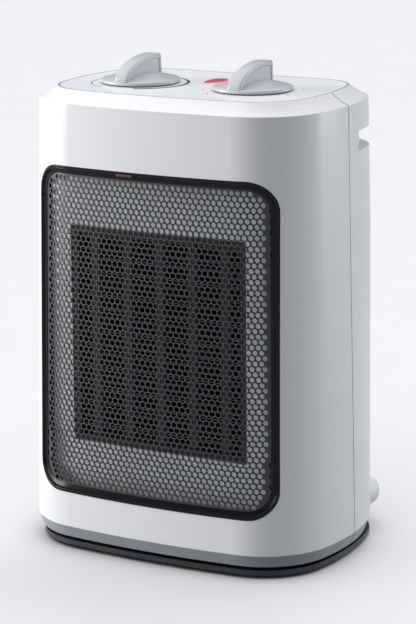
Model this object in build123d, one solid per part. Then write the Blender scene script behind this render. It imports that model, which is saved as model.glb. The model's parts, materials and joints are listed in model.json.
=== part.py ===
from build123d import *
import math
import os

# A free-standing ceramic fan heater, in millimetres.  +Z is up and the front faces -Y.
# Shapes are drawn about the swivel axis.  The written parts have their origin on the
# floor under the middle of the whole object's box, ORIGIN_Y behind that axis.

# ---- driving dimensions -------------------------------------------------------------
WIDTH = 174.0                # across the sides, at the top of the wall
DEPTH = 120.4                # front to back, at the top of the wall
FRONT_BOW = 463.0            # radius of the bowed front
SIDE_BOW = 147.0             # radius of the bowed sides
WAIST_BOW = 93.0             # radius of the sides of the rear cover where its waist is narrowest
WAIST = [(7.5, 1.0), (14.2, 1.0), (100.0, 0.7), (180.0, 0.0)]
FRONT_CORNER = 39.8
REAR_CORNER = 34.0
TAPER = 0.060                # the body is this much wider at its foot than at its top
TAPER_SPAN = 232.0

FOOT_H = 2.3
PLATE_TOP = 5.1              # top of the base plate
BODY_Z0 = 7.5                # bottom edge of the housing
WALL_Z0 = 14.2               # top of the bottom chamfer
WALL_Z1 = 248.8              # bottom of the top chamfer
TOP_Z = 255.0
BOTTOM_INSET = 2.3
TOP_INSET = 9.7
WALL = 2.5
SEAM_Y = 3.2                 # plane where the front housing meets the rear cover
SEAM_GAP = 0.05              # half of the fine gap at that seam
PLATE_INSET = 3.5            # base plate edge, drawn in from the wall

PANEL_INSET = 10.9           # outline of the inset top panel
PANEL_T = 2.4
LEDGE = 3.4                  # ledge under the top panel
PANEL_GAP = 0.15

GRILLE_Z0 = 33.5
GRILLE_Z1 = 215.5
GRILLE_HALF_TOP = 73.2
GRILLE_HALF_FOOT = 74.7
GRILLE_CORNER = 16.0
BEZEL_RIM = 3.2
BEZEL_PROUD = 0.8
BEZEL_DEPTH = 5.0
MESH_INSET = 1.6
MESH_T = 0.8
REFLECTOR_Y = -50.0          # front face of the reflector plate
REFLECTOR_T = 0.8

CORE_Z = 121.5               # centre of the heating element, fan and motor
CORE_W = 108.0
CORE_H = 121.0
CORE_D = 15.0
CORE_RIM = 4.0
RIB_COUNT = 5
RIB_W = 5.0

FAN_R = 48.0
DUCT_R = 51.0                # inner radius of the round part of the air duct
DUCT_T = 2.0
FAN_Y = 2.0                  # middle of the impeller
FAN_D = 16.0
BLADES = 7
HUB_R = 16.0
SHAFT_R = 2.0
MOTOR_R = 19.0
MOTOR_Y0 = 16.0
MOTOR_Y1 = 42.0
RUN_FIT = 0.05               # radial running clearance

KNOB_X = 34.7
KNOB_Y = -6.0
KNOB_R = 21.8
KNOB_TOP = 270.0
KNOB_GAP = 0.6
KNOB_SKIRT = 1.8
KNOB_DOME = 3.0
BLADE_T = 8.6
BLADE_BACK = 17.0            # the blade's upright end, behind the knob's centre
BLADE_CREST = 10.0
STEM_R = 3.0
PANEL_HOLE_R = 4.0

LENS_Y = 16.4
LENS_RX = 5.1
LENS_RY = 9.9

POST_R = 9.0
BUSH_R = 12.0
CUP_R = 52.0                 # inner radius of the pan's recess over the base
CUP_Z1 = 20.0
CRANK_Y = 30.0               # crank centre to swivel axis
CRANK_E = 15.0               # crank throw: half of CRANK_Y gives a swing of 30 degrees each way
PIN_R = 2.0
RAIL_GAP = 5.5
PAD_R = 7.5
PAD_BOTTOM = 5.4
TIP_X = -26.0
TIP_Y = -20.0
PLUNGER_R = 2.2

GROOVE_Z = 228.0             # finger groove round the back
GROOVE_H = 10.8
GROOVE_D = 5.5
GROOVE_Y0 = 14.0             # where the groove starts on each side
BOSS_X = 68.0                # cord outlet boss
BOSS_Z = 17.4
BOSS_R = 8.6
BOSS_Y1 = 70.0
CORD_R = 3.6
SWITCH_X = 30.0              # rear power switch
SWITCH_Z = 42.0
INTAKE_W = 92.0
INTAKE_Z0 = 64.0
INTAKE_Z1 = 184.0
SCREW_R = 1.6
HEAD_R = 3.2
ORIGIN_Y = 3.6


# ---- helpers ------------------------------------------------------------------------
def taper_at(z):
    """Scale of the body's outline at height z."""
    return 1 + TAPER * (WALL_Z1 - z) / TAPER_SPAN


def arc_edge(distance, radius, x):
    """How far out a bowed edge lies at x, for a bow of that radius and distance."""
    return distance - radius + math.sqrt(radius ** 2 - x ** 2)


def waist_at(z):
    """How far the rear cover's sides are drawn in at height z, from 0 to 1."""
    for (z0, w0), (z1, w1) in zip(WAIST, WAIST[1:]):
        if z <= z1:
            return w0 + (w1 - w0) * max(z - z0, 0.0) / (z1 - z0)
    return 0.0


def plan(inset, z, waisted=False):
    """The body's outline at height z, drawn in by inset: bowed front and sides, straight back."""
    k = taper_at(z)
    half = k * WIDTH / 2 - inset
    depth = k * DEPTH / 2 - inset
    front_bow = k * FRONT_BOW - inset
    side_bow = k * SIDE_BOW - inset
    waist = waist_at(z) if waisted else 0.0
    rear_bow = k * (SIDE_BOW + (WAIST_BOW - SIDE_BOW) * waist) - inset
    front_half = arc_edge(half, side_bow, depth)
    front = arc_edge(depth, front_bow, front_half)
    front_half = arc_edge(half, side_bow, front)
    back_half = arc_edge(half, rear_bow, depth)
    front_mid = (arc_edge(half, side_bow, front / 2), -front / 2)
    back_mid = (arc_edge(half, rear_bow, depth / 2), depth / 2)
    edges = ThreePointArc((-front_half, -front), (0, -depth), (front_half, -front))
    edges += ThreePointArc((front_half, -front), front_mid, (half, 0))
    edges += ThreePointArc((half, 0), back_mid, (back_half, depth))
    edges += Line((back_half, depth), (-back_half, depth))
    edges += ThreePointArc((-back_half, depth), (-back_mid[0], back_mid[1]), (-half, 0))
    edges += ThreePointArc((-half, 0), (-front_mid[0], front_mid[1]), (-front_half, -front))
    face = make_face(edges)
    face = fillet(face.vertices().filter_by(lambda v: v.Y < -1), k * FRONT_CORNER - inset)
    face = fillet(face.vertices().filter_by(lambda v: v.Y > depth - 1), k * REAR_CORNER - inset)
    return Pos(0, 0, z) * face.face()


def skin(sections, waisted=False):
    """A solid through outlines given as (height, inset) pairs."""
    return loft([plan(inset, z, waisted) for z, inset in sections], ruled=True)


def slab(inset, z0, z1, waisted=False):
    """A plate that follows the outline between two heights."""
    return skin([(z0, inset), (z1, inset)], waisted)


def front_prism(half_foot, half_top, z0, z1, radius, y0=-90.0, y1=-40.0):
    """A rounded trapezium in the front view, carried along Y."""
    corners = [(-half_foot, z0), (half_foot, z0), (half_top, z1), (-half_top, z1)]
    face = make_face(Polyline(*corners, close=True))
    face = fillet(face.vertices(), radius)
    return Pos(0, y1, 0) * extrude(Plane.XZ * face, amount=y1 - y0)


def grille_prism(inward, radius=GRILLE_CORNER):
    """The grille window, drawn in by inward."""
    return front_prism(
        GRILLE_HALF_FOOT - inward, GRILLE_HALF_TOP - inward,
        GRILLE_Z0 + inward, GRILLE_Z1 - inward, radius - inward * 0.6,
    )


def bar_y(radius, x, z, y0, y1):
    """A cylinder along Y."""
    return Pos(x, (y0 + y1) / 2, z) * Rot(90, 0, 0) * Cylinder(radius, y1 - y0)


def bar_z(radius, x, y, z0, z1):
    """A cylinder along Z."""
    return Pos(x, y, (z0 + z1) / 2) * Cylinder(radius, z1 - z0)


def block(x0, x1, y0, y1, z0, z1):
    """A box from its limits."""
    size = Box(x1 - x0, y1 - y0, z1 - z0)
    return Pos((x0 + x1) / 2, (y0 + y1) / 2, (z0 + z1) / 2) * size


def join(shapes):
    """Several solids as one shape, whether they touch or not."""
    total = shapes[0]
    for shape in shapes[1:]:
        total = total + shape
    return total


# ---- base ---------------------------------------------------------------------------
FEET = [(sx * 58.0, y) for sx in (-1, 1) for y in (-40.0, 44.0)]
PADS = [(sx * x, y) for sx in (-1, 1) for x, y in ((65.5, -40.0), (64.0, 38.0))]


def base_plate():
    plate = slab(PLATE_INSET, FOOT_H, PLATE_TOP)
    post = bar_z(POST_R, 0, 0, FOOT_H, 25.0)
    bore = bar_z(SCREW_R, 0, 0, 8.0, 26.0)
    plunger_hole = bar_z(PLUNGER_R + 0.3, TIP_X, TIP_Y, 0, PLATE_TOP + 1)
    plate = plate + post - bore - plunger_hole
    for x, y in FEET:
        plate = plate - bar_z(3.0, x, y, 0, PLATE_TOP + 1)
    return plate


def rubber_feet():
    feet = []
    for x, y in FEET:
        disc = bar_z(8.0, x, y, 0, FOOT_H)
        disc = fillet(disc.edges().sort_by(Axis.Z)[0], 0.6)
        feet.append(disc + bar_z(3.0, x, y, FOOT_H, PLATE_TOP - 0.1))
    return join(feet)


def crank_rails():
    rails = []
    for side in (-1, 1):
        x0, x1 = sorted((side * RAIL_GAP, side * (RAIL_GAP + 2.4)))
        rails.append(block(x0, x1, 19.0, 48.5, PLATE_TOP, 12.0))
    return join(rails)


def pivot_retainer():
    washer = bar_z(13.0, 0, 0, 25.0, 26.5)
    head = bar_z(4.5, 0, 0, 26.5, 29.0)
    head = fillet(head.edges().sort_by(Axis.Z)[-1], 1.0)
    return washer + head + bar_z(SCREW_R, 0, 0, 9.0, 25.0)


def tip_switch_body():
    body = block(TIP_X - 10, TIP_X + 10, TIP_Y - 4, TIP_Y + 4, PLATE_TOP, 15.0)
    return body - bar_z(PLUNGER_R + RUN_FIT, TIP_X, TIP_Y, 0, 12.0)


def tip_plunger():
    pin = bar_z(PLUNGER_R, TIP_X, TIP_Y, 0, 10.0)
    return fillet(pin.edges().sort_by(Axis.Z)[0], 0.8)


# ---- swivel parts on the body ---------------------------------------------------------
def bottom_pan():
    pan = slab(5.6, BODY_Z0, 9.7, waisted=True)
    cup = bar_z(CUP_R + 2, 0, 0, BODY_Z0, CUP_Z1 + 2)
    recess = bar_z(CUP_R, 0, 0, 0, CUP_Z1)
    pan = pan + cup - recess - bar_z(BUSH_R, 0, 0, 0, 30)
    return pan - bar_z(3.0, 0, CRANK_Y, 0, 30)


def glide_pads():
    pads = []
    for x, y in PADS:
        disc = bar_z(PAD_R, x, y, PAD_BOTTOM, BODY_Z0)
        pads.append(fillet(disc.edges().sort_by(Axis.Z)[0], 0.7))
    return join(pads)


def pivot_bush():
    ring = bar_z(BUSH_R, 0, 0, 15.0, 24.0) - bar_z(POST_R + RUN_FIT, 0, 0, 14.0, 25.0)
    flange = bar_z(15.0, 0, 0, 22.0, 24.0) - bar_z(POST_R + RUN_FIT, 0, 0, 14.0, 25.0)
    return ring + flange


def oscillation_motor():
    can = bar_z(17.0, 0, CRANK_Y + 3, 22.0, 34.0) - bar_z(2.5 + RUN_FIT, 0, CRANK_Y, 20, 28)
    can = fillet(can.edges().filter_by(GeomType.CIRCLE).sort_by(Axis.Z)[-1], 1.5)
    ears = block(-24, 24, CRANK_Y - 1, CRANK_Y + 7, 22.0, 23.2)
    return can + (ears - bar_z(10, 0, CRANK_Y, 20, 28))


def crank():
    spindle = bar_z(2.5, 0, CRANK_Y, 14.0, 27.5)
    arm = block(-4, 4, CRANK_Y, CRANK_Y + CRANK_E, 14.0, 17.0)
    ends = bar_z(4, 0, CRANK_Y, 14.0, 17.0) + bar_z(4, 0, CRANK_Y + CRANK_E, 14.0, 17.0)
    pin = bar_z(PIN_R, 0, CRANK_Y + CRANK_E, 7.0, 14.0)
    return spindle + arm + ends + pin


PAN_SCREWS = [(sx * 66.0, y) for sx in (-1, 1) for y in (-18.0, 20.0)]


def pan_screws():
    screws = []
    for x, y in PAN_SCREWS:
        screws.append(bar_z(HEAD_R, x, y, 9.7, 11.7) + bar_z(SCREW_R, x, y, BODY_Z0, 9.7))
    return join(screws)


def with_screw_holes(pan):
    for x, y in PAN_SCREWS:
        pan = pan - bar_z(SCREW_R, x, y, 0, 30)
    return pan


# ---- housing ----------------------------------------------------------------------------
def outer_body():
    return skin([
        (BODY_Z0, BOTTOM_INSET), (WALL_Z0, 0), (WAIST[2][0], 0), (WAIST[3][0], 0), (WALL_Z1, 0),
        (WALL_Z1 + 1.9, 4.0), (WALL_Z1 + 3.9, 7.0), (TOP_Z, TOP_INSET),
    ], waisted=True)


def cavity():
    body = skin([
        (BODY_Z0 - 1.0, BOTTOM_INSET + WALL + 0.4), (WALL_Z0 + 0.6, WALL), (WAIST[2][0], WALL),
        (WAIST[3][0], WALL), (WALL_Z1 - 1.6, WALL), (TOP_Z - PANEL_T - 2.0, TOP_INSET + WALL - 0.4),
    ], waisted=True)
    panel_seat = slab(PANEL_INSET - PANEL_GAP, TOP_Z - PANEL_T, TOP_Z + 1)
    opening = slab(PANEL_INSET + LEDGE, TOP_Z - 12, TOP_Z + 1)
    return body, panel_seat + opening


OUTER = outer_body()
INNER, TOP_OPENING = cavity()


def half_space(front):
    """Everything before or behind the seam."""
    if front:
        return block(-200, 200, -200, SEAM_Y - SEAM_GAP, -10, 300)
    return block(-200, 200, SEAM_Y + SEAM_GAP, 200, -10, 300)


def front_housing():
    shell = OUTER - INNER - TOP_OPENING - grille_prism(0)
    return shell & half_space(True)


def groove(grow):
    """The finger groove: a band of the wall, rounded at its two front ends."""
    z0 = GROOVE_Z - GROOVE_H / 2 - grow
    z1 = GROOVE_Z + GROOVE_H / 2 + grow
    band = slab(-2, z0, z1) - slab(GROOVE_D + grow, z0 - 1, z1 + 1)
    end = GROOVE_Y0 + GROOVE_H / 2
    reach = block(-200, 200, end, 200, z0, z1)
    reach = reach + Pos(0, end, GROOVE_Z) * Rot(0, 90, 0) * Cylinder(GROOVE_H / 2 + grow, 400)
    return band & reach


def intake_prism(grow):
    return block(-INTAKE_W / 2 - grow, INTAKE_W / 2 + grow, 50, 90,
                 INTAKE_Z0 - grow, INTAKE_Z1 + grow)


def cord_outlet():
    """The rounded boss low on one rear corner, fixed on the cover's outside."""
    boss = bar_y(BOSS_R, BOSS_X, BOSS_Z, 30.0, BOSS_Y1)
    boss = fillet(boss.edges().sort_by(Axis.Y)[-1], 3.6)
    boss = boss - OUTER - bar_y(CORD_R + 2.0, BOSS_X, BOSS_Z, 20, 100)
    return boss


def rear_cover():
    shell = OUTER - (INNER - groove(WALL)) - TOP_OPENING - groove(0)
    shell = shell - intake_prism(0)
    shell = shell - bar_y(CORD_R + 2.0, BOSS_X, BOSS_Z, 20, 100)
    shell = shell - block(SWITCH_X - 7, SWITCH_X + 7, 50, 90, SWITCH_Z - 10, SWITCH_Z + 10)
    for x, z in COVER_SCREWS:
        shell = shell - bar_y(SCREW_R, x, z, 50, 90)
    return shell & half_space(False)


COVER_SCREWS = [(-44.0, 30.0), (4.0, 46.0), (-44.0, 206.0), (44.0, 206.0)]


def back_y(z):
    """Outside face of the back at height z."""
    return DEPTH / 2 * taper_at(z)


def housing_screws():
    screws = []
    for x, z in COVER_SCREWS:
        face = back_y(z)
        head = bar_y(HEAD_R, x, z, face + 0.1, face + 1.6)
        slot = block(x - 2.4, x + 2.4, face + 1.0, face + 2, z - 0.4, z + 0.4)
        screws.append(head - slot + bar_y(SCREW_R, x, z, face - 14, face + 0.5))
    return join(screws)


def top_panel():
    panel = slab(PANEL_INSET, TOP_Z - PANEL_T + 0.02, TOP_Z)
    for side in (-1, 1):
        panel = panel - bar_z(PANEL_HOLE_R, side * KNOB_X, KNOB_Y, TOP_Z - 9, TOP_Z + 9)
    return panel - lens_prism(LENS_RX + 0.1, LENS_RY + 0.1, TOP_Z - 9, TOP_Z + 9)


def lens_prism(rx, ry, z0, z1):
    return Pos(0, LENS_Y, z0) * extrude(Ellipse(rx, ry), amount=z1 - z0)


def indicator_lens():
    body = lens_prism(LENS_RX, LENS_RY, TOP_Z - 4.0, TOP_Z + 0.6)
    return fillet(body.edges().sort_by(Axis.Z)[-1], 0.5)


def indicator_lamp():
    base = block(-5, 5, LENS_Y - 4, LENS_Y + 4, TOP_Z - 16, TOP_Z - 11)
    return base + bar_z(3.0, 0, LENS_Y, TOP_Z - 11, TOP_Z - 4.4)


# ---- outlet grille ------------------------------------------------------------------------
def shell_band(outer_inset, inner_inset):
    """A skin that follows the body's wall, between two insets."""
    span = (GRILLE_Z0 - 6, GRILLE_Z1 + 6)
    outer = skin([(z, outer_inset) for z in span])
    return outer - skin([(span[0] - 1, inner_inset), (span[1] + 1, inner_inset)])


def grille_bezel():
    ring = shell_band(-BEZEL_PROUD, BEZEL_DEPTH) & grille_prism(0.1)
    return ring - grille_prism(BEZEL_RIM) - status_prism(0.05)


def status_prism(grow):
    """The small window in the bezel's top rim."""
    return block(-18 - grow, -8 + grow, -90, -57, GRILLE_Z1 - 2.4 - grow, GRILLE_Z1 - 1.2 + grow)


def status_window():
    return shell_band(-BEZEL_PROUD, 3.0) & status_prism(0)


def grille_mesh():
    sheet = shell_band(MESH_INSET, MESH_INSET + MESH_T)
    return sheet & grille_prism(BEZEL_RIM + 0.1)


def reflector_plate():
    y1 = REFLECTOR_Y + REFLECTOR_T
    plate = front_prism(67.5, 65.5, 31.0, 216.0, 14.0, REFLECTOR_Y, y1)
    opening = block(-CORE_W / 2, CORE_W / 2, -80, 0, CORE_Z - CORE_H / 2, CORE_Z + CORE_H / 2)
    return plate - opening


# ---- heating element ------------------------------------------------------------------------
def rib_centres():
    inner = CORE_W - 2 * CORE_RIM
    pitch = inner / RIB_COUNT
    return [-inner / 2 + pitch * (i + 0.5) for i in range(RIB_COUNT)]


def core_box(grow, y0, y1):
    return block(-CORE_W / 2 - grow, CORE_W / 2 + grow, y0, y1,
                 CORE_Z - CORE_H / 2 - grow, CORE_Z + CORE_H / 2 + grow)


def element_frame():
    y0 = REFLECTOR_Y + REFLECTOR_T
    frame = core_box(0, y0, y0 + CORE_D) - core_box(-CORE_RIM, y0 - 1, y0 + CORE_D + 1)
    return frame


def ceramic_stones():
    """One upright row of ceramic stones between each pair of fin blocks."""
    y0 = REFLECTOR_Y + REFLECTOR_T
    z0 = CORE_Z - CORE_H / 2 + CORE_RIM
    z1 = CORE_Z + CORE_H / 2 - CORE_RIM
    return join([block(x - RIB_W / 2, x + RIB_W / 2, y0 + 1.5, y0 + CORE_D - 1, z0, z1)
                 for x in rib_centres()])


FIN_PITCH = 4.0
FIN_T = 0.6


def fin_stack(x0, x1, y0, y1, z0, z1):
    """Two side strips and the thin fins between them, as one solid."""
    stack = block(x0, x1, y0, y1, z0, z1)
    count = int((z1 - z0) / FIN_PITCH)
    pitch = (z1 - z0 - FIN_T) / count
    gaps = [block(x0 + FIN_T, x1 - FIN_T, y0 - 1, y1 + 1, z0 + pitch * i + FIN_T, z0 + pitch * (i + 1))
            for i in range(count)]
    return stack - join(gaps)


def heater_fins():
    """Stacks of thin aluminium fins beside the stones."""
    y0 = REFLECTOR_Y + REFLECTOR_T + 2.5
    y1 = y0 + CORE_D - 4
    z0 = CORE_Z - CORE_H / 2 + CORE_RIM + 1
    z1 = CORE_Z + CORE_H / 2 - CORE_RIM - 1
    edges = [-CORE_W / 2 + CORE_RIM]
    for x in rib_centres():
        edges += [x - RIB_W / 2, x + RIB_W / 2]
    edges.append(CORE_W / 2 - CORE_RIM)
    return join([fin_stack(x0, x1, y0, y1, z0, z1) for x0, x1 in zip(edges[0::2], edges[1::2])])


def electrode_tabs():
    """Blade terminals that stand up from the frame's top edge, clear of the duct."""
    z = CORE_Z + CORE_H / 2
    y = REFLECTOR_Y + REFLECTOR_T + CORE_D / 2
    return join([block(x - 3, x + 3, y - 0.4, y + 0.4, z, z + 9) for x in rib_centres()[::2]])


def thermal_cutout():
    y0 = REFLECTOR_Y + REFLECTOR_T + CORE_D
    disc = bar_y(8.0, 30, CORE_Z + CORE_H / 2 + 9, y0, y0 + 7)
    tabs = block(24, 36, y0 + 7, y0 + 13, CORE_Z + CORE_H / 2 + 8, CORE_Z + CORE_H / 2 + 9)
    return disc + tabs


def thermal_fuse():
    y = REFLECTOR_Y + REFLECTOR_T + CORE_D + 3.0
    z = CORE_Z + CORE_H / 2 + 8
    body = Pos(-24, y, z) * Rot(0, 90, 0) * Cylinder(2.2, 14)
    leads = Pos(-24, y, z) * Rot(0, 90, 0) * Cylinder(0.6, 34)
    return body + leads


# ---- fan -----------------------------------------------------------------------------------
def air_duct():
    """A square collar on the element that narrows to a round fan ring."""
    y0 = REFLECTOR_Y + REFLECTOR_T + CORE_D
    ring0 = FAN_Y - FAN_D / 2 - 3
    ring1 = FAN_Y + FAN_D / 2 + 6
    outer = loft([square_face(CORE_W, CORE_H, y0), round_face(DUCT_R + DUCT_T, ring0)], ruled=True)
    inner = loft([square_face(CORE_W - 2 * CORE_RIM, CORE_H - 2 * CORE_RIM, y0),
                  round_face(DUCT_R, ring0)], ruled=True)
    ring = bar_y(DUCT_R + DUCT_T, 0, CORE_Z, ring0, ring1) - bar_y(DUCT_R, 0, CORE_Z, ring0, ring1)
    return (outer - inner) + ring


def square_face(w, h, y):
    return Plane((0, y, CORE_Z), x_dir=(1, 0, 0), z_dir=(0, 1, 0)) * RectangleRounded(w, h, 6).face()


def round_face(r, y):
    """A circle as a very round rectangle, so that it lofts edge to edge with the collar."""
    plane = Plane((0, y, CORE_Z), x_dir=(1, 0, 0), z_dir=(0, 1, 0))
    return plane * RectangleRounded(2 * r, 2 * r, r - 0.05).face()


def motor_spider():
    y0 = FAN_Y + FAN_D / 2 + 3
    y1 = MOTOR_Y0
    hub = bar_y(MOTOR_R + 2, 0, CORE_Z, y0, y1 + 4) - bar_y(MOTOR_R, 0, CORE_Z, y1, y1 + 5)
    arms = [hub]
    for i in range(4):
        arm = block(MOTOR_R - 2, DUCT_R - 0.1, y0, y0 + 3, -3, 3)
        arms.append(Pos(0, 0, CORE_Z) * Rot(0, 45 + 90 * i, 0) * arm)
    return join(arms) - bar_y(SHAFT_R + 2, 0, CORE_Z, y0 - 1, y1 + 1)


def fan_motor():
    can = bar_y(MOTOR_R, 0, CORE_Z, MOTOR_Y0, MOTOR_Y1)
    can = fillet(can.edges().sort_by(Axis.Y)[-1], 2.0)
    bearing = bar_y(6.0, 0, CORE_Z, MOTOR_Y1, MOTOR_Y1 + 4)
    return can + bearing - bar_y(SHAFT_R + RUN_FIT, 0, CORE_Z, MOTOR_Y0 - 2, MOTOR_Y1 + 3)


def motor_shaft():
    return bar_y(SHAFT_R, 0, CORE_Z, FAN_Y - FAN_D / 2 - 2, MOTOR_Y1 + 2.5)


def fan_impeller():
    y0 = FAN_Y - FAN_D / 2
    y1 = FAN_Y + FAN_D / 2
    hub = bar_y(HUB_R, 0, CORE_Z, y0, y1)
    hub = fillet(hub.edges().sort_by(Axis.Y)[0], 4.0)
    blades = [hub]
    for i in range(BLADES):
        blade = block(HUB_R - 3, FAN_R, -0.8, 0.8, -12, 12)
        blade = Rot(32, 0, 0) * blade
        blades.append(Pos(0, FAN_Y, CORE_Z) * Rot(0, 360 / BLADES * i, 0) * blade)
    body = join(blades) & bar_y(FAN_R, 0, CORE_Z, y0 - 4, y1 + 2)
    return body - bar_y(SHAFT_R, 0, CORE_Z, y0 - 5, y1 + 5)


# ---- controls --------------------------------------------------------------------------------
def knob_shape():
    """A domed disc with a tall blade: low and round at the front, cut off upright at the back."""
    z0 = TOP_Z + KNOB_GAP
    z1 = z0 + KNOB_SKIRT
    skirt = bar_z(KNOB_R, 0, 0, z0, z1)
    bow = (KNOB_R ** 2 + KNOB_DOME ** 2) / (2 * KNOB_DOME)
    dome = Pos(0, 0, z1 + KNOB_DOME - bow) * Sphere(bow)
    dome = dome & bar_z(KNOB_R, 0, 0, z1, z1 + KNOB_DOME)
    disc = fillet((skirt + dome).edges().sort_by(Axis.Z)[0], 0.5)
    rise = KNOB_TOP - z1
    arc = EllipticalCenterArc((BLADE_CREST, z1), KNOB_R + BLADE_CREST - 0.3, rise,
                              start_angle=90, arc_size=90)
    outline = arc + Polyline((BLADE_CREST, z1 + rise), (BLADE_BACK - 0.6, z1 + rise - 0.7),
                             (BLADE_BACK, z1), (-KNOB_R + 0.3, z1))
    blade = extrude(Plane.YZ * make_face(outline), amount=BLADE_T / 2, both=True)
    blade = fillet(blade.edges().filter_by(lambda e: e.center().Z > z1 + 1), 1.2)
    return disc + blade


def control_knob(side):
    knob = Pos(side * KNOB_X, KNOB_Y, 0) * knob_shape()
    return knob - bar_z(STEM_R, side * KNOB_X, KNOB_Y, TOP_Z, TOP_Z + 8)


def control_stem(side):
    return bar_z(STEM_R, side * KNOB_X, KNOB_Y, TOP_Z - 18, TOP_Z + 7.8)


def thermostat_body():
    x = -KNOB_X
    box = block(x - 14, x + 14, KNOB_Y - 11, KNOB_Y + 11, TOP_Z - 24, TOP_Z - 10)
    neck = bar_z(6.0, x, KNOB_Y, TOP_Z - 10, TOP_Z - PANEL_T)
    return box + neck - bar_z(STEM_R + RUN_FIT, x, KNOB_Y, TOP_Z - 19, TOP_Z)


def selector_body():
    x = KNOB_X
    drum = bar_z(15.0, x, KNOB_Y, TOP_Z - 28, TOP_Z - 10)
    neck = bar_z(6.0, x, KNOB_Y, TOP_Z - 10, TOP_Z - PANEL_T)
    tabs = [block(x - 11 + 7 * i, x - 8 + 7 * i, KNOB_Y - 3, KNOB_Y + 3, TOP_Z - 34, TOP_Z - 28)
            for i in range(4)]
    return join([drum, neck] + tabs) - bar_z(STEM_R + RUN_FIT, x, KNOB_Y, TOP_Z - 19, TOP_Z)


# ---- back ---------------------------------------------------------------------------------------
def rear_grille():
    y1 = back_y(INTAKE_Z0) + 1.2
    y0 = DEPTH / 2 - 2.0
    frame = intake_prism(-0.2) & block(-100, 100, y0, y1, 0, 300)
    opening = intake_prism(-5.0)
    slats = []
    count = 17
    pitch = (INTAKE_Z1 - INTAKE_Z0 - 10) / count
    for i in range(count):
        z = INTAKE_Z0 + 5 + pitch * (i + 0.5)
        slats.append(block(-INTAKE_W / 2 + 4, INTAKE_W / 2 - 4, y0 + 0.4, y1 - 0.6, z - 1.3, z + 1.3))
    posts = [block(x - 1.2, x + 1.2, y0, y1 - 1.0, INTAKE_Z0 + 4, INTAKE_Z1 - 4) for x in (-16, 16)]
    return join([frame - opening] + slats + posts)


def dust_filter():
    y1 = DEPTH / 2 - 2.4
    return block(-INTAKE_W / 2 + 1, INTAKE_W / 2 - 1, y1 - 2.5, y1, INTAKE_Z0 + 1, INTAKE_Z1 - 1)


def power_switch_bezel():
    face = back_y(SWITCH_Z)
    body = block(SWITCH_X - 6.8, SWITCH_X + 6.8, face - 12, face, SWITCH_Z - 9.8, SWITCH_Z + 9.8)
    rim = block(SWITCH_X - 8, SWITCH_X + 8, face + 0.2, face + 1.7, SWITCH_Z - 11, SWITCH_Z + 11)
    hole = block(SWITCH_X - 4.8, SWITCH_X + 4.8, face - 9, face + 9, SWITCH_Z - 8, SWITCH_Z + 8)
    axle = Pos(SWITCH_X, face - 3.5, SWITCH_Z) * Rot(0, 90, 0) * Cylinder(1.2, 12)
    rim = fillet(rim.edges().sort_by(Axis.Y)[-4:], 0.6)
    link = block(SWITCH_X - 6.8, SWITCH_X + 6.8, face - 1, face + 0.5, SWITCH_Z - 9.8, SWITCH_Z + 9.8)
    return body + rim + link - hole + axle


def power_rocker():
    """Drawn pressed at the bottom, which is off; it tips the other way to switch on."""
    face = back_y(SWITCH_Z)
    half_w = 4.5
    pts = [(-3.5, -6.0), (3.0, -6.9), (1.4, 0.0), (4.9, 6.6), (-3.5, 6.0)]
    outline = make_face(Polyline(*[(face - 3.5 + 2.0 + y, SWITCH_Z + z) for y, z in pts], close=True))
    body = extrude(Plane.YZ.offset(SWITCH_X) * outline, amount=half_w, both=True)
    hole = Pos(SWITCH_X, face - 3.5, SWITCH_Z) * Rot(0, 90, 0) * Cylinder(1.2 + RUN_FIT, 20)
    return body - hole


def cord_gland():
    body = bar_y(CORD_R + 2.0, BOSS_X, BOSS_Z, BOSS_Y1 - 16, BOSS_Y1)
    lip = bar_y(CORD_R + 3.0, BOSS_X, BOSS_Z, BOSS_Y1, BOSS_Y1 + 1.6)
    lip = fillet(lip.edges().sort_by(Axis.Y)[-1], 0.8)
    return body + lip - bar_y(CORD_R, BOSS_X, BOSS_Z, 0, 120)


def terminal_block():
    x0 = -50
    body = block(x0, x0 + 30, 36, 48, 24.0, 36.0)
    for i in range(3):
        body = body - bar_z(2.4, x0 + 6 + 9 * i, 42, 28.0, 40.0)
    return body


def wire(points, radius=1.1):
    """An insulated wire along a path with rounded corners."""
    path = FilletPolyline(*points, radius=4.0)
    start = Plane(origin=path @ 0, z_dir=path % 0)
    return sweep(start * Circle(radius), path=path)


def wiring():
    live = wire([(-44, 42, 36.2), (-44, 44, 50), (-68, 34, 70), (-72, 0, 120), (-70, -4, 190),
                 (-KNOB_X, KNOB_Y, 219), (-KNOB_X, KNOB_Y, TOP_Z - 24.2)])
    neutral = wire([(-35, 42, 36.2), (-35, 45, 58), (62, 42, 62), (68, 30, 90), (72, 6, 130),
                    (66, -4, 190), (KNOB_X + 4.5, KNOB_Y, 208), (KNOB_X + 4.5, KNOB_Y, TOP_Z - 34.2)])
    earth = wire([(-26, 42, 28.2), (-26, 42, 48), (SWITCH_X, 40, 56), (SWITCH_X, 46, SWITCH_Z)])
    return join([live, neutral, earth])


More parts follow.
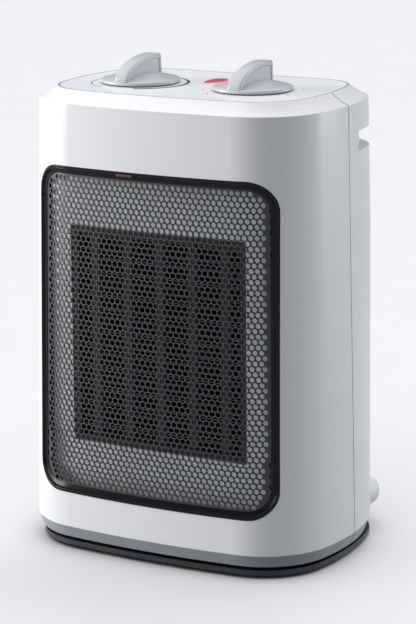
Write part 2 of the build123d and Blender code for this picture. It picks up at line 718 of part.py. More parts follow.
PARTS = {
    "base_plate": base_plate,
    "rubber_feet": rubber_feet,
    "crank_rails": crank_rails,
    "pivot_retainer": pivot_retainer,
    "tip_switch_body": tip_switch_body,
    "tip_plunger": tip_plunger,
    "bottom_pan": lambda: with_screw_holes(bottom_pan()),
    "glide_pads": glide_pads,
    "pivot_bush": pivot_bush,
    "oscillation_motor": oscillation_motor,
    "crank": crank,
    "pan_screws": pan_screws,
    "front_housing": front_housing,
    "rear_cover": rear_cover,
    "cord_outlet": cord_outlet,
    "housing_screws": housing_screws,
    "top_panel": top_panel,
    "indicator_lens": indicator_lens,
    "indicator_lamp": indicator_lamp,
    "grille_bezel": grille_bezel,
    "status_window": status_window,
    "grille_mesh": grille_mesh,
    "reflector_plate": reflector_plate,
    "element_frame": element_frame,
    "ceramic_stones": ceramic_stones,
    "heater_fins": heater_fins,
    "electrode_tabs": electrode_tabs,
    "thermal_cutout": thermal_cutout,
    "thermal_fuse": thermal_fuse,
    "air_duct": air_duct,
    "motor_spider": motor_spider,
    "fan_motor": fan_motor,
    "motor_shaft": motor_shaft,
    "fan_impeller": fan_impeller,
    "thermostat_knob": lambda: control_knob(-1),
    "thermostat_stem": lambda: control_stem(-1),
    "thermostat_body": thermostat_body,
    "selector_knob": lambda: control_knob(1),
    "selector_stem": lambda: control_stem(1),
    "selector_body": selector_body,
    "rear_grille": rear_grille,
    "dust_filter": dust_filter,
    "power_switch_bezel": power_switch_bezel,
    "power_rocker": power_rocker,
    "cord_gland": cord_gland,
    "terminal_block": terminal_block,
    "wiring": wiring,
}

os.makedirs("parts", exist_ok=True)
for name, make in PARTS.items():
    export_step(Pos(0, -ORIGIN_Y, 0) * make(), f"parts/{name}.step")
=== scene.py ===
import json
import math

import bmesh
import bpy
from mathutils import Matrix, Vector


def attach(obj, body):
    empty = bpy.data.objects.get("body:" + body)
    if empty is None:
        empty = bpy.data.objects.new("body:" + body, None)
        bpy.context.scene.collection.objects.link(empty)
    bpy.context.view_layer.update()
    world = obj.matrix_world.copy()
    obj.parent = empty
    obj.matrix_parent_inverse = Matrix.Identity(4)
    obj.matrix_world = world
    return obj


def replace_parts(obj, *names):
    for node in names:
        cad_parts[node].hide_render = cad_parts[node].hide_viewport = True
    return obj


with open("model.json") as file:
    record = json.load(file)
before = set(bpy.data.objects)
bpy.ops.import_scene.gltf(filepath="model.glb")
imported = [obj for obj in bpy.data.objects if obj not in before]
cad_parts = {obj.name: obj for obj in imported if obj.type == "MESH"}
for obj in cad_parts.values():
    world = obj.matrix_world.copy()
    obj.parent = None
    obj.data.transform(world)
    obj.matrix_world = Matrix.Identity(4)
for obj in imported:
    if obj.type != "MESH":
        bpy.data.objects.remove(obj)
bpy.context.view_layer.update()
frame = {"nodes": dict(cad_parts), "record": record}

MM = 0.001

# ---- the body's outline, as the CAD model draws it (metres) -----------------------------
ORIGIN_Y = 3.6 * MM            # the swivel axis lies this far in front of the origin
WIDTH = 174.0 * MM
DEPTH = 120.4 * MM
FRONT_BOW = 463.0 * MM
SIDE_BOW = 147.0 * MM
WAIST_BOW = 93.0 * MM
WAIST = ((7.5, 1.0), (14.2, 1.0), (100.0, 0.7), (180.0, 0.0))
FRONT_CORNER = 39.8 * MM
REAR_CORNER = 34.0 * MM
TAPER = 0.060 / (232.0 * MM)
# the wall's (height, inset) profile from the bottom chamfer to the top one
PROFILE = ((7.5, 2.3), (14.2, 0.0), (248.8, 0.0), (250.7, 4.0), (252.7, 7.0), (255.0, 9.7))
WALL_TOP = 248.8 * MM

GRILLE_Z0 = 33.5 * MM
GRILLE_Z1 = 215.5 * MM
GRILLE_FOOT = 74.7 * MM
GRILLE_TOP = 73.2 * MM
GRILLE_CORNER = 16.0 * MM
MESH_INSET = 1.6 * MM
MESH_T = 0.8 * MM
HOLE_PITCH = 3.35 * MM
HOLE_R = 1.44 * MM
HOLE_MARGIN = 4.6 * MM         # outermost hole centres, in from the window's edge
HOLE_SPREAD = -2.4 * MM        # how much nearer they come to its upright edges
HOLE_SIDES = 12

TOP_Z = 255.0 * MM
SEAM_Y = 3.2 * MM              # the joint between the front and rear shells
SEAM_W = 0.50 * MM
PANEL_INSET = 10.9 * MM
PRINT_H = 0.04 * MM            # half the thickness of a printed line
SCALE_R = 27.1 * MM            # outer radius of the thermostat's printed scale
SCALE_START = -112.0           # degrees, clockwise to SCALE_END
SCALE_END = -428.0
MARK_R = 27.0 * MM             # the selector's marks
MARK_ANGLES = (150, 198, 235, 30, 342)
KNOB_X = 34.7 * MM
KNOB_Y = -6.0 * MM - ORIGIN_Y
KNOB_R = 21.8 * MM
KNOB_TOP = 270.0 * MM
KNOB_GAP = 0.6 * MM
KNOB_SKIRT = 1.8 * MM
KNOB_DOME = 3.0 * MM
BLADE_T = 8.6 * MM
BLADE_BACK = 17.0 * MM
BLADE_CREST = 10.0 * MM
LENS_Y = 16.4 * MM - ORIGIN_Y
LENS_RX = 5.1 * MM
LENS_RY = 9.9 * MM


def scale_at(z):
    """The body is a little wider at its foot."""
    return 1 + TAPER * (WALL_TOP - z)


def waist_at(z):
    """How far the rear cover's sides are drawn in at height z, from 0 to 1."""
    z = z / MM
    for (z0, w0), (z1, w1) in zip(WAIST, WAIST[1:]):
        if z <= z1:
            return w0 + (w1 - w0) * max(z - z0, 0.0) / (z1 - z0)
    return 0.0


def circle_meet(c0, r0, c1, r1):
    """The crossing of two circles that has the larger x."""
    d = c1 - c0
    along = (d.length_squared + r0 ** 2 - r1 ** 2) / (2 * d.length)
    across = math.sqrt(r0 ** 2 - along ** 2)
    base = c0 + d.normalized() * along
    side = Vector((-d.y, d.x)).normalized() * across
    return max((base + side, base - side), key=lambda p: p.x)


class Outline:
    """The right half of the outline at one height and inset, from the middle of the front
    round to the middle of the back, as arcs of (centre, radius, start, end) in the plan."""

    def __init__(self, z, inset=0.0):
        k = scale_at(z)
        depth = k * DEPTH / 2 - inset
        bow = k * FRONT_BOW - inset
        side = k * SIDE_BOW - inset
        rear = k * (SIDE_BOW + (WAIST_BOW - SIDE_BOW) * waist_at(z)) - inset
        self.half = k * WIDTH / 2 - inset
        self.depth = depth
        front_c = Vector((0, bow - depth))
        side_c = Vector((self.half - side, 0))
        rear_c = Vector((self.half - rear, 0))
        rf = k * FRONT_CORNER - inset
        rr = k * REAR_CORNER - inset
        corner_f = circle_meet(front_c, bow - rf, side_c, side - rf)
        y = depth - rr
        corner_r = Vector((rear_c.x + math.sqrt((rear - rr) ** 2 - y ** 2), y))
        a0 = self.normal(front_c, corner_f)
        a1 = self.normal(side_c, corner_f)
        a2 = self.normal(rear_c, corner_r)
        self.arcs = [
            (front_c, bow, 0.0, a0), (corner_f, rf, a0, a1),
            (side_c, side, a1, math.pi / 2), (rear_c, rear, math.pi / 2, a2),
            (corner_r, rr, a2, math.pi),
        ]
        self.back_x = corner_r.x

    @staticmethod
    def normal(centre, target):
        """Turn of the outward normal from straight ahead (-Y), at a tangent point."""
        d = target - centre
        return math.atan2(d.x, -d.y)

    def lengths(self):
        return [r * (a1 - a0) for _, r, a0, a1 in self.arcs] + [self.back_x]

    def at(self, s):
        """Point and normal angle at arc length s from the middle of the front; s may be negative."""
        side = -1 if s < 0 else 1
        s = abs(s)
        for centre, r, a0, a1 in self.arcs:
            span = r * (a1 - a0)
            if s <= span:
                a = a0 + s / r
                x = centre.x + r * math.sin(a)
                y = centre.y - r * math.cos(a)
                return Vector((side * x, y)), side * a
            s -= span
        x = self.back_x - s
        return Vector((side * x, self.depth)), side * math.pi

    def front_at(self, x):
        """Arc length of the point of the front or its corner that has this x."""
        side = -1 if x < 0 else 1
        x = abs(x)
        s = 0.0
        for centre, r, a0, a1 in self.arcs[:2]:
            a = math.asin(min(1.0, (x - centre.x) / r))
            if a <= a1:
                return side * (s + r * (a - a0))
            s += r * (a1 - a0)
        return side * s


def place(p, z):
    """A point of the plan, in the row frame."""
    return Vector((p.x, p.y - ORIGIN_Y, z))


# ---- mesh helpers ---------------------------------------------------------------------------
def new_piece(name, verts, faces, body, material, smooth=35.0):
    mesh = bpy.data.meshes.new(name)
    mesh.from_pydata([tuple(v) for v in verts], [], faces)
    mesh.update()
    obj = bpy.data.objects.new(name, mesh)
    bpy.context.scene.collection.objects.link(obj)
    finish_piece(obj, body, material, smooth)
    return obj


def finish_piece(obj, body, material, smooth=35.0):
    tidy_mesh(obj.data, smooth)
    obj.data.materials.clear()
    obj.data.materials.append(material)
    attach(obj, body)


def tidy_mesh(mesh, smooth):
    """Welds, faces outward and shades smooth below an angle."""
    bm = bmesh.new()
    bm.from_mesh(mesh)
    bmesh.ops.remove_doubles(bm, verts=bm.verts, dist=0.002 * MM)
    bmesh.ops.recalc_face_normals(bm, faces=bm.faces)
    for face in bm.faces:
        face.smooth = True
    limit = math.radians(smooth)
    for edge in bm.edges:
        edge.smooth = len(edge.link_faces) == 2 and edge.calc_face_angle(0.0) < limit
    bm.to_mesh(mesh)
    bm.free()


def smooth_cad(obj, degrees=30.0):
    """Smooth shading on a CAD node; no point moves."""
    mesh = obj.data
    mesh.polygons.foreach_set("use_smooth", [True] * len(mesh.polygons))
    mesh.set_sharp_from_angle(angle=math.radians(degrees))


# ---- materials --------------------------------------------------------------------------------
def shader(name, color, rough, metallic=0.0, coat=0.0, bump=0.0, scale=900.0, vary=0.04,
           specular=0.5, emission=None, rough_vary=0.05, transmission=0.0):
    """A moulded or coated surface: fine grain in the bump, slow drift in colour and gloss."""
    mat = bpy.data.materials.new(name)
    mat.use_nodes = True
    nodes = mat.node_tree.nodes
    links = mat.node_tree.links
    bsdf = nodes["Principled BSDF"]
    coords = nodes.new("ShaderNodeTexCoord")
    drift = nodes.new("ShaderNodeTexNoise")
    drift.inputs["Scale"].default_value = 18.0
    drift.inputs["Detail"].default_value = 3.0
    links.new(coords.outputs["Object"], drift.inputs["Vector"])
    ramp = nodes.new("ShaderNodeValToRGB")
    dark = [c * (1 - vary) for c in color]
    light = [min(1.0, c * (1 + vary)) for c in color]
    ramp.color_ramp.elements[0].position = 0.3
    ramp.color_ramp.elements[0].color = (*dark, 1)
    ramp.color_ramp.elements[1].position = 0.7
    ramp.color_ramp.elements[1].color = (*light, 1)
    links.new(drift.outputs["Fac"], ramp.inputs["Fac"])
    links.new(ramp.outputs["Color"], bsdf.inputs["Base Color"])
    gloss = nodes.new("ShaderNodeMapRange")
    gloss.inputs["To Min"].default_value = max(0.0, rough - rough_vary)
    gloss.inputs["To Max"].default_value = min(1.0, rough + rough_vary)
    links.new(drift.outputs["Fac"], gloss.inputs["Value"])
    links.new(gloss.outputs["Result"], bsdf.inputs["Roughness"])
    bsdf.inputs["Metallic"].default_value = metallic
    bsdf.inputs["Specular IOR Level"].default_value = specular
    bsdf.inputs["Coat Weight"].default_value = coat
    bsdf.inputs["Coat Roughness"].default_value = 0.06
    bsdf.inputs["Transmission Weight"].default_value = transmission
    if emission:
        bsdf.inputs["Emission Color"].default_value = (*emission[0], 1)
        bsdf.inputs["Emission Strength"].default_value = emission[1]
    if bump:
        grain = nodes.new("ShaderNodeTexNoise")
        grain.inputs["Scale"].default_value = scale
        grain.inputs["Detail"].default_value = 2.0
        links.new(coords.outputs["Object"], grain.inputs["Vector"])
        relief = nodes.new("ShaderNodeBump")
        relief.inputs["Strength"].default_value = bump
        relief.inputs["Distance"].default_value = 0.0001
        links.new(grain.outputs["Fac"], relief.inputs["Height"])
        links.new(relief.outputs["Normal"], bsdf.inputs["Normal"])
    return mat


MATERIALS = {
    "white_plastic": shader("shell_white", (0.73, 0.73, 0.745), 0.36, coat=0.12, bump=0.10, vary=0.006),
    "panel_plastic": shader("panel_white", (0.75, 0.757, 0.775), 0.42, bump=0.22, scale=1500, vary=0.008),
    "knob_plastic": shader("knob_white", (0.48, 0.485, 0.52), 0.34, coat=0.15, bump=0.10, vary=0.008),
    "vent_plastic": shader("vent_white", (0.74, 0.74, 0.76), 0.38, bump=0.15, vary=0.01),
    "black_plastic": shader("base_black", (0.012, 0.012, 0.014), 0.42, bump=0.35, scale=1300, vary=0.1),
    "gloss_black": shader("bezel_black", (0.006, 0.0065, 0.008), 0.24, coat=0.06, specular=0.12,
                          vary=0.05, rough_vary=0.02),
    "dark_plastic": shader("pan_grey", (0.05, 0.053, 0.058), 0.5, bump=0.3, vary=0.06),
    "heat_plastic": shader("heat_black", (0.016, 0.016, 0.017), 0.55, bump=0.3, vary=0.1),
    "grey_plastic": shader("acetal_grey", (0.19, 0.21, 0.24), 0.42, bump=0.2, vary=0.03),
    "switch_plastic": shader("nylon_natural", (0.62, 0.60, 0.53), 0.45, bump=0.2, vary=0.03),
    "rubber": shader("rubber_black", (0.015, 0.015, 0.016), 0.75, bump=0.5, scale=700, vary=0.15),
    "steel": shader("zinc_steel", (0.55, 0.56, 0.58), 0.32, metallic=1.0, bump=0.2, vary=0.05),
    "mesh_steel": shader("mesh_grey", (0.028, 0.031, 0.036), 0.42, metallic=0.2, bump=0.15,
                         scale=1600, vary=0.05),
    "reflector_aluminium": shader("reflector_bright", (0.88, 0.885, 0.90), 0.45, metallic=0.25,
                                  bump=0.15, vary=0.03),
    "fin_aluminium": shader("fin_dark", (0.10, 0.10, 0.105), 0.38, metallic=0.8, bump=0.2, vary=0.2),
    "ptc_ceramic": shader("stone_grey", (0.035, 0.036, 0.038), 0.6, bump=0.5, vary=0.12),
    "brass": shader("brass_plain", (0.60, 0.44, 0.17), 0.3, metallic=1.0, bump=0.1, vary=0.05),
    "red_lens": shader("lens_red", (0.72, 0.012, 0.016), 0.14, coat=0.9, vary=0.04,
                       emission=((0.9, 0.02, 0.02), 0.25)),
    "dark_red_lens": shader("lens_dark_red", (0.10, 0.002, 0.003), 0.15, coat=0.8, vary=0.05),
    "lamp_glass": shader("lamp_glass", (0.8, 0.55, 0.45), 0.05, transmission=0.7, vary=0.03),
    "filter_fabric": shader("filter_black", (0.02, 0.02, 0.022), 0.85, bump=0.9, scale=500, vary=0.3),
    "wire_pvc": shader("wire_grey", (0.30, 0.30, 0.32), 0.45, bump=0.1, vary=0.05),
}


def paint_foot_shade(mat):
    """Paints shade onto the shell's bottom chamfer: below its top edge the white turns grey, standing in
    for the shade that falls under it.
    """
    nodes = mat.node_tree.nodes
    links = mat.node_tree.links
    bsdf = nodes["Principled BSDF"]
    source = bsdf.inputs["Base Color"].links[0].from_socket
    coords = nodes.new("ShaderNodeTexCoord")
    split = nodes.new("ShaderNodeSeparateXYZ")
    links.new(coords.outputs["Object"], split.inputs["Vector"])
    edge = nodes.new("ShaderNodeMapRange")
    edge.inputs["From Min"].default_value = FOOT_SHADE_EDGE - 0.3 * MM
    edge.inputs["From Max"].default_value = FOOT_SHADE_EDGE
    links.new(split.outputs["Z"], edge.inputs["Value"])
    mix = nodes.new("ShaderNodeMix")
    mix.data_type = "RGBA"
    # painted shade: the grey of the bottom chamfer, standing in for the shade under the white shell
    mix.inputs[6].default_value = (0.27, 0.29, 0.325, 1)
    links.new(edge.outputs["Result"], mix.inputs[0])
    links.new(source, mix.inputs[7])
    links.new(mix.outputs[2], bsdf.inputs["Base Color"])
    return mat


# top edge of the painted shade band, and the white shell material that carries that painted shade
FOOT_SHADE_EDGE = PROFILE[1][0] * MM
SHELL_WHITE_FOOT_SHADE = paint_foot_shade(shader("shell_white_painted_foot_shade", (0.73, 0.73, 0.745), 0.36, coat=0.12, bump=0.10,
                               vary=0.006))


def dress_cad():
    """Every CAD node gets the material of its slot; the two shells get painted shade on their bottom
    chamfer.
    """
    for part in frame["record"]["subparts"]:
        obj = frame["nodes"][part["node"]]
        obj.data.materials.clear()
        obj.data.materials.append(MATERIALS[part["material_slot"]])
        smooth_cad(obj)
    for name in ("front_housing", "rear_cover"):
        frame["nodes"][name].data.materials[0] = SHELL_WHITE_FOOT_SHADE


# ---- perforated outlet grille -------------------------------------------------------------------
def window_half(z):
    """Half-width of the grille window at height z."""
    t = (z - GRILLE_Z0) / (GRILLE_Z1 - GRILLE_Z0)
    return GRILLE_FOOT + (GRILLE_TOP - GRILLE_FOOT) * t


def window_depth(x, z):
    """How far inside the window's edge a point lies, in the front view."""
    cz = (GRILLE_Z0 + GRILLE_Z1) / 2
    hz = (GRILLE_Z1 - GRILLE_Z0) / 2
    dx = abs(x) - (window_half(z) + HOLE_SPREAD - GRILLE_CORNER)
    dz = abs(z - cz) - (hz - GRILLE_CORNER)
    outside = math.hypot(max(dx, 0), max(dz, 0))
    return GRILLE_CORNER - outside - min(max(dx, dz), 0)


def perforated_grille():
    """A sheet of six-sided cells, each with a round hole, that follows the bowed front.
    Cells near the window's edge are left solid."""
    row = HOLE_PITCH * math.sqrt(3) / 2
    hex_r = HOLE_PITCH / math.sqrt(3)
    verts = []
    faces = []
    rings = {}
    outlines = {}

    def surface(s, z, depth):
        key = (round(z / MM * 40), round(depth / MM * 100))
        if key not in outlines:
            outlines[key] = Outline(z, depth)
        p, _ = outlines[key].at(s * scale_at(z))
        return place(p, z)

    def cell(cs, cz, depth, hole):
        outer = []
        inner = []
        for i in range(HOLE_SIDES):
            a = 2 * math.pi * i / HOLE_SIDES
            r = hex_r if i % 2 else hex_r * math.cos(math.pi / 6)
            outer.append(surface(cs + r * math.cos(a), cz + r * math.sin(a), depth))
            if hole:
                inner.append(surface(cs + HOLE_R * math.cos(a), cz + HOLE_R * math.sin(a), depth))
        start = len(verts)
        verts.extend(outer + inner)
        return start

    n = HOLE_SIDES
    rows = int((GRILLE_Z1 - GRILLE_Z0) / row) + 2
    cols = int(2 * GRILLE_FOOT * 1.15 / HOLE_PITCH) + 2
    z_mid = (GRILLE_Z0 + GRILLE_Z1) / 2
    for j in range(-rows // 2, rows // 2 + 1):
        cz = z_mid + j * row
        for i in range(-cols // 2, cols // 2 + 1):
            cs = (i + 0.5 * (j % 2)) * HOLE_PITCH
            p, _ = Outline(cz, MESH_INSET).at(cs * scale_at(cz))
            depth = window_depth(p.x, cz)
            if depth < 1.6 * MM:
                continue
            hole = depth > HOLE_MARGIN
            front = cell(cs, cz, MESH_INSET, hole)
            back = cell(cs, cz, MESH_INSET + MESH_T, hole)
            if not hole:
                faces.append([front + k for k in range(n)])
                faces.append([back + n - 1 - k for k in range(n)])
                continue
            for k in range(n):
                m = (k + 1) % n
                faces.append([front + k, front + m, front + n + m, front + n + k])
                faces.append([back + m, back + k, back + n + k, back + n + m])
                faces.append([front + n + k, front + n + m, back + n + m, back + n + k])
    obj = new_piece("outlet_mesh", verts, faces, "housing", MATERIALS["mesh_steel"], 40)
    close_rim(obj.data)
    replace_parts(obj, "grille_mesh")
    return obj


def close_rim(mesh):
    """Joins the front and back of a sheet along its open outer edge."""
    bm = bmesh.new()
    bm.from_mesh(mesh)
    rim = [e for e in bm.edges if len(e.link_faces) == 1]
    bmesh.ops.bridge_loops(bm, edges=rim)
    bmesh.ops.recalc_face_normals(bm, faces=bm.faces)
    bm.to_mesh(mesh)
    bm.free()


# ---- grille bezel -----------------------------------------------------------------------------------
def window_path(inward, steps=14):
    """Points (x, z) and inward directions round the window, drawn in by inward."""
    radius = GRILLE_CORNER - inward * 0.6
    corners = []
    for sx, z, turn in ((1, GRILLE_Z0, -90), (1, GRILLE_Z1, 0), (-1, GRILLE_Z1, 90), (-1, GRILLE_Z0, 180)):
        half = window_half(z) - inward
        cz = z + (inward + radius) * (1 if z == GRILLE_Z0 else -1)
        centre = Vector((sx * (half - radius), cz))
        for i in range(steps + 1):
            a = math.radians(turn + 90 * i / steps)
            out = Vector((math.cos(a), math.sin(a)))
            corners.append((centre + out * radius, -out))
    path = []
    for (p, n), (q, m) in zip(corners, corners[1:] + corners[:1]):
        path.append((p, n))
        gap = (q - p).length
        if gap > 6 * MM:
            pieces = int(gap / (3 * MM))
            for i in range(1, pieces):
                t = i / pieces
                path.append((p.lerp(q, t), n.lerp(m, t).normalized()))
    return path


def sweep_bezel(name, profile, body, material):
    """Carries a closed profile of (inward, lift) pairs round the window on the bowed front."""
    path = window_path(0.0, 18)
    verts = []
    for p, inward in path:
        outline = Outline(p.y)
        s = outline.front_at(p.x)
        base, a = outline.at(s)
        normal = Vector((math.sin(a), -math.cos(a), 0))
        along = Vector((math.cos(a), math.sin(a), 0))
        step = along * inward.x + Vector((0, 0, 1)) * inward.y
        for across, lift in profile:
            verts.append(place(base, p.y) + step * (across * MM) + normal * (lift * MM))
    n = len(profile)
    count = len(path)
    faces = []
    for i in range(count):
        j = (i + 1) % count
        for k in range(n):
            m = (k + 1) % n
            faces.append([i * n + k, i * n + m, j * n + m, j * n + k])
    return new_piece(name, verts, faces, body, material, 50)


def arc_points(cx, cy, r, a0, a1, steps):
    """Points of an arc, in degrees."""
    return [(cx + r * math.cos(math.radians(a0 + (a1 - a0) * i / steps)),
             cy + r * math.sin(math.radians(a0 + (a1 - a0) * i / steps))) for i in range(steps + 1)]


def grille_bezel():
    """Outer band, a fine raised lip, then a flange that drops to the mesh."""
    profile = [(0.15, -3.0), (0.15, 0.1)]
    profile += arc_points(0.55, 0.1, 0.4, 180, 90, 4)[1:]
    profile += [(1.3, 0.42)]
    profile += arc_points(1.7, 0.48, 0.28, 160, 20, 5)
    profile += [(2.1, 0.0), (2.5, -0.9), (4.6, -1.45), (4.6, -3.0)]
    bezel = sweep_bezel("outlet_bezel", profile, "housing", MATERIALS["gloss_black"])
    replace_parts(bezel, "grille_bezel")
    return bezel


# ---- controls -----------------------------------------------------------------------------------
def piece_of(bm, name, body, slot, smooth):
    mesh = bpy.data.meshes.new(name)
    bm.to_mesh(mesh)
    bm.free()
    obj = bpy.data.objects.new(name, mesh)
    bpy.context.scene.collection.objects.link(obj)
    finish_piece(obj, body, MATERIALS[slot], smooth)
    return obj


def add_revolved(bm, profile, centre, steps=64, stretch=(1.0, 1.0)):
    """Turns a profile of (radius, z) from the axis back to the axis, about an upright line."""
    rings = []
    for r, z in profile:
        if r < 1e-9:
            rings.append([bm.verts.new((centre[0], centre[1], z))])
            continue
        rings.append([bm.verts.new((
            centre[0] + r * stretch[0] * math.cos(2 * math.pi * i / steps),
            centre[1] + r * stretch[1] * math.sin(2 * math.pi * i / steps), z)) for i in range(steps)])
    for lower, upper in zip(rings, rings[1:]):
        for i in range(steps):
            j = (i + 1) % steps
            if len(lower) == 1:
                bm.faces.new((lower[0], upper[i], upper[j]))
            elif len(upper) == 1:
                bm.faces.new((lower[i], lower[j], upper[0]))
            else:
                bm.faces.new((lower[i], lower[j], upper[j], upper[i]))


def blade_outline():
    """The blade from its low front end over the crest to its upright back, as (y, z)."""
    z1 = TOP_Z + KNOB_GAP + KNOB_SKIRT
    rise = KNOB_TOP - z1 - 0.02 * MM
    reach = KNOB_R + BLADE_CREST - 0.4 * MM
    points = []
    for i in range(25):
        a = math.radians(90 * i / 24)
        points.append((BLADE_CREST - reach * math.cos(a), z1 + rise * math.sin(a)))
    points.append((BLADE_BACK - 1.6 * MM, z1 + rise - 0.45 * MM))
    points.append((BLADE_BACK - 0.75 * MM, z1 + rise - 1.2 * MM))
    points.append((BLADE_BACK - 0.1 * MM, z1))
    return points


def add_blade(bm, centre):
    """The finger blade: rounded edges, and side faces set back inside a narrow rim."""
    half = BLADE_T / 2 - 0.02 * MM
    outline = blade_outline()
    low = min(z for _, z in outline)
    height = max(z for _, z in outline) - low
    front = min(y for y, _ in outline)
    length = max(y for y, _ in outline) - front
    mid = front + length / 2
    # (how far in from the side face, how far in from the outline), from the rounded edge
    # over the rim and down into the recess
    steps = ((1.5, 0.0), (1.0, 0.1), (0.5, 0.45), (0.15, 0.95), (0.0, 1.6),
             (0.0, 2.3), (0.25, 2.75), (0.55, 2.9))
    rings = []
    for side in (-1, 1):
        order = steps if side > 0 else tuple(reversed(steps))
        for back, inward in order:
            sy = 1 - 2 * inward * MM / length
            sz = 1 - inward * MM / height
            x = centre[0] + side * (half - back * MM)
            rings.append([bm.verts.new((x, centre[1] + mid + (y - mid) * sy, low + (z - low) * sz))
                          for y, z in outline])
    n = len(outline)
    for ring, following in zip(rings, rings[1:]):
        for i in range(n):
            j = (i + 1) % n
            bm.faces.new((ring[i], ring[j], following[j], following[i]))
    for ring in (rings[0], rings[-1]):
        hub = bm.verts.new(sum((v.co for v in ring), Vector()) / n)
        for i in range(n):
            bm.faces.new((ring[i], ring[(i + 1) % n], hub))


def control_knob(name, side, body):
    bm = bmesh.new()
    centre = (side * KNOB_X, KNOB_Y)
    z0 = TOP_Z + KNOB_GAP
    z1 = z0 + KNOB_SKIRT
    bow = (KNOB_R ** 2 + KNOB_DOME ** 2) / (2 * KNOB_DOME)
    profile = [(0, z0), (KNOB_R - 0.5 * MM, z0), (KNOB_R - 0.05 * MM, z0 + 0.45 * MM),
               (KNOB_R - 0.02 * MM, z1 - 0.5 * MM), (KNOB_R - 0.4 * MM, z1 + 0.02 * MM)]
    for i in range(12, -1, -1):
        r = (KNOB_R - 0.8 * MM) * i / 12
        profile.append((r, z1 + KNOB_DOME - bow + math.sqrt(bow ** 2 - r ** 2) - 0.02 * MM))
    add_revolved(bm, profile, centre, 72)
    add_blade(bm, centre)
    return piece_of(bm, name, body, "knob_plastic", 42)


def indicator_lens():
    bm = bmesh.new()
    top = TOP_Z + 0.58 * MM
    profile = [(0, TOP_Z - 3.9 * MM), (0.98, TOP_Z - 3.9 * MM), (0.98, TOP_Z + 0.05 * MM)]
    profile += [(0.96, TOP_Z + 0.22 * MM), (0.90, TOP_Z + 0.36 * MM), (0.75, TOP_Z + 0.47 * MM),
                (0.5, TOP_Z + 0.54 * MM), (0, top)]
    add_revolved(bm, profile, (0, LENS_Y), 64, (LENS_RX, LENS_RY))
    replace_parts(piece_of(bm, "indicator_dome", "housing", "red_lens", 40), "indicator_lens")


def printed_strip(name, points, widths):
    """A flat inked line on the top panel along (x, y) points, with a width at each."""
    verts = []
    for i, (p, w) in enumerate(zip(points, widths)):
        before = points[max(i - 1, 0)]
        after = points[min(i + 1, len(points) - 1)]
        along = (Vector(after) - Vector(before)).normalized()
        across = Vector((-along.y, along.x)) * (w / 2)
        for side in (-1, 1):
            for z in (TOP_Z - PRINT_H, TOP_Z + PRINT_H):
                q = Vector(p) + across * side
                verts.append((q.x, q.y, z))
    faces = [(0, 1, 3, 2)]
    last = 4 * (len(points) - 1)
    faces.append((last, last + 2, last + 3, last + 1))
    for i in range(len(points) - 1):
        a = 4 * i
        b = a + 4
        faces += [(a, a + 2, b + 2, b), (a + 1, b + 1, b + 3, a + 3), (a, b, b + 1, a + 1),
                  (a + 2, a + 3, b + 3, b + 2)]
    return new_piece(name, verts, faces, "housing", MATERIALS["dark_plastic"], 30)


def panel_seam():
    """The fine dark line between the control panel and the shell's rim."""
    outline = Outline(TOP_Z, PANEL_INSET)
    half = sum(outline.lengths())
    steps = 160
    path = []
    for i in range(steps):
        p, a = outline.at(half * (2 * i / steps - 1))
        path.append((place(p, TOP_Z), Vector((math.sin(a), -math.cos(a), 0))))
    verts = []
    for p, out in path:
        for across in (-SEAM_W / 2, SEAM_W / 2):
            for z in (-PRINT_H, PRINT_H):
                verts.append(p + out * across + Vector((0, 0, z)))
    faces = []
    for i in range(steps):
        a = 4 * i
        b = 4 * ((i + 1) % steps)
        for k, m in ((0, 1), (1, 3), (3, 2), (2, 0)):
            faces.append((a + k, a + m, b + m, b + k))
    new_piece("panel_seam", verts, faces, "housing", MATERIALS["dark_plastic"], 30)


def shell_seam(side):
    """The upright joint line between the two shells, from the foot over the top chamfer."""
    heights = [PROFILE[0][0], PROFILE[1][0]]
    heights += [20 + 228.8 * i / 24 for i in range(25)]
    heights += [z for z, _ in PROFILE[3:]]
    verts = []
    for z in heights:
        inset = 0.0
        for (z0, i0), (z1, i1) in zip(PROFILE, PROFILE[1:]):
            if z0 <= z <= z1:
                inset = i0 + (i1 - i0) * (z - z0) / (z1 - z0)
        outline = Outline(z * MM, inset * MM)
        centre, radius = outline.arcs[3][:2]
        x = centre.x + math.sqrt(radius ** 2 - SEAM_Y ** 2)
        up = PRINT_H if z > PROFILE[2][0] else 0.0
        for y in (SEAM_Y - SEAM_W / 2, SEAM_Y + SEAM_W / 2):
            for lift in (-PRINT_H, PRINT_H):
                verts.append(place(Vector((side * (x + lift), y)), z * MM + (up if lift > 0 else 0)))
    last = 4 * (len(heights) - 1)
    faces = [(0, 1, 3, 2), (last, last + 2, last + 3, last + 1)]
    for i in range(len(heights) - 1):
        a = 4 * i
        b = a + 4
        for k, m in ((0, 1), (1, 3), (3, 2), (2, 0)):
            faces.append((a + k, a + m, b + m, b + k))
    name = "shell_seam_right" if side > 0 else "shell_seam_left"
    new_piece(name, verts, faces, "housing", MATERIALS["dark_plastic"], 30)


def heat_scale():
    """The tapered scale that runs round the thermostat knob, open at the front left."""
    points = []
    widths = []
    for i in range(73):
        t = i / 72
        a = math.radians(SCALE_START + (SCALE_END - SCALE_START) * t)
        w = (0.5 + 2.6 * t ** 2) * MM
        r = SCALE_R - w / 2
        points.append((-KNOB_X + r * math.cos(a), KNOB_Y + r * math.sin(a)))
        widths.append(w)
    printed_strip("heat_scale", points, widths)


def selector_marks():
    """Small plain marks round the selector knob."""
    for i, angle in enumerate(MARK_ANGLES):
        a = math.radians(angle)
        c = Vector((KNOB_X + MARK_R * math.cos(a), KNOB_Y + MARK_R * math.sin(a)))
        d = Vector((math.cos(a + 1.2), math.sin(a + 1.2))) * 1.5 * MM
        printed_strip(f"selector_mark_{i}", [tuple(c - d), tuple(c + d)], [0.5 * MM, 0.5 * MM])


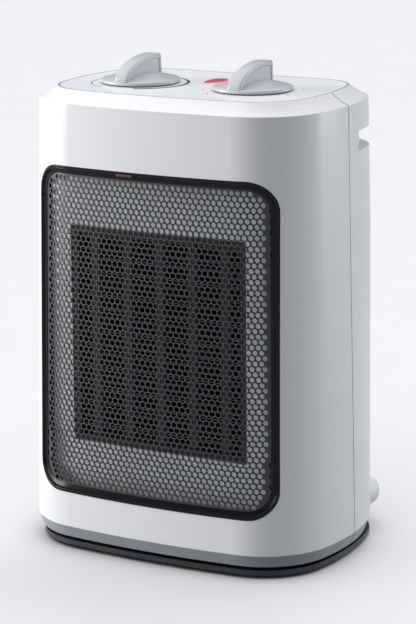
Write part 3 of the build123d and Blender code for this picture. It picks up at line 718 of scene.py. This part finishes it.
# ---- stage, lights and camera ---------------------------------------------------------------------------
def plain_stage():
    mat = shader("floor_pale", (0.945, 0.945, 0.945), 0.55, vary=0.004)
    size = 20.0
    verts = [(-size, -size, 0), (size, -size, 0), (size, size, 0), (-size, size, 0)]
    mesh = bpy.data.meshes.new("floor")
    mesh.from_pydata(verts, [], [[0, 1, 2, 3]])
    mesh.materials.append(mat)
    floor = bpy.data.objects.new("floor", mesh)
    bpy.context.scene.collection.objects.link(floor)
    floor.visible_diffuse = False
    return floor


def area_light(name, floor, location, target, size, power, color=(1, 1, 1), size_y=None):
    """A softbox that lights the heater but not the floor, which the sky lights evenly."""
    data = bpy.data.lights.new(name, "AREA")
    data.shape = "RECTANGLE"
    data.size = size
    data.size_y = size_y or size
    data.energy = power
    data.color = color
    obj = bpy.data.objects.new(name, data)
    obj.location = location
    obj.rotation_euler = (Vector(target) - Vector(location)).to_track_quat("-Z", "Y").to_euler()
    bpy.context.scene.collection.objects.link(obj)
    skipped = bpy.data.collections.new(name + "_skips")
    skipped.objects.link(floor)
    obj.light_linking.receiver_collection = skipped
    skipped.collection_objects[0].light_linking.link_state = "EXCLUDE"


def studio(floor):
    """Bright overhead and dim at the sides, with a key on the left and a kicker behind."""
    world = bpy.data.worlds.new("studio")
    bpy.context.scene.world = world
    world.use_nodes = True
    nodes = world.node_tree.nodes
    links = world.node_tree.links
    background = nodes["Background"]
    coords = nodes.new("ShaderNodeTexCoord")
    split = nodes.new("ShaderNodeSeparateXYZ")
    links.new(coords.outputs["Generated"], split.inputs["Vector"])
    sky = nodes.new("ShaderNodeValToRGB")
    sky.color_ramp.interpolation = "EASE"
    sky.color_ramp.elements[0].position = 0.35
    sky.color_ramp.elements[0].color = (0.10, 0.11, 0.125, 1)
    sky.color_ramp.elements[1].position = 0.80
    sky.color_ramp.elements[1].color = (0.97, 0.98, 1.0, 1)
    links.new(split.outputs["Z"], sky.inputs["Fac"])
    links.new(sky.outputs["Color"], background.inputs["Color"])
    background.inputs["Strength"].default_value = 1.50
    middle = (0, 0, 0.12)
    area_light("key_left", floor, (-1.72, -0.91, 0.36), middle, 0.8, 57, (1.0, 0.99, 0.98), 1.3)
    area_light("rear_right", floor, (1.28, 1.22, 0.35), middle, 0.6, 13, (0.93, 0.96, 1.0), 1.2)


CAMERA_AZIMUTH = math.radians(29.491)
CAMERA_HEADING = math.radians(29.380)
CAMERA_DISTANCE = 1319.67 * MM
CAMERA_HEIGHT = 439.93 * MM
CAMERA_PITCH = math.radians(13.278)
CAMERA_ROLL = math.radians(-0.467)
CAMERA_LENS = 141.36           # millimetres, on a sensor 36 mm tall


def camera():
    data = bpy.data.cameras.new("camera")
    data.sensor_fit = "VERTICAL"
    data.sensor_height = 36.0
    data.lens = CAMERA_LENS
    data.clip_start = 0.05
    data.clip_end = 50.0
    obj = bpy.data.objects.new("camera", data)
    bpy.context.scene.collection.objects.link(obj)
    az = CAMERA_AZIMUTH
    heading = CAMERA_HEADING
    forward = Vector((-math.sin(heading) * math.cos(CAMERA_PITCH),
                      math.cos(heading) * math.cos(CAMERA_PITCH), -math.sin(CAMERA_PITCH)))
    right = Vector((math.cos(heading), math.sin(heading), 0))
    up = right.cross(forward)
    level = right * math.cos(CAMERA_ROLL) + up * math.sin(CAMERA_ROLL)
    rise = up * math.cos(CAMERA_ROLL) - right * math.sin(CAMERA_ROLL)
    turn = Matrix((level, rise, -forward)).transposed().to_4x4()
    where = Vector((math.sin(az) * CAMERA_DISTANCE,
                    -math.cos(az) * CAMERA_DISTANCE - ORIGIN_Y, CAMERA_HEIGHT))
    obj.matrix_world = Matrix.Translation(where) @ turn
    bpy.context.scene.camera = obj


camera()
studio(plain_stage())
dress_cad()
perforated_grille()
grille_bezel()
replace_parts(control_knob("thermostat_grip", -1, "thermostat_control"), "thermostat_knob")
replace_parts(control_knob("selector_grip", 1, "selector_control"), "selector_knob")
indicator_lens()
heat_scale()
selector_marks()
panel_seam()
shell_seam(-1)
shell_seam(1)

scene = bpy.context.scene
scene.view_settings.view_transform = "Standard"
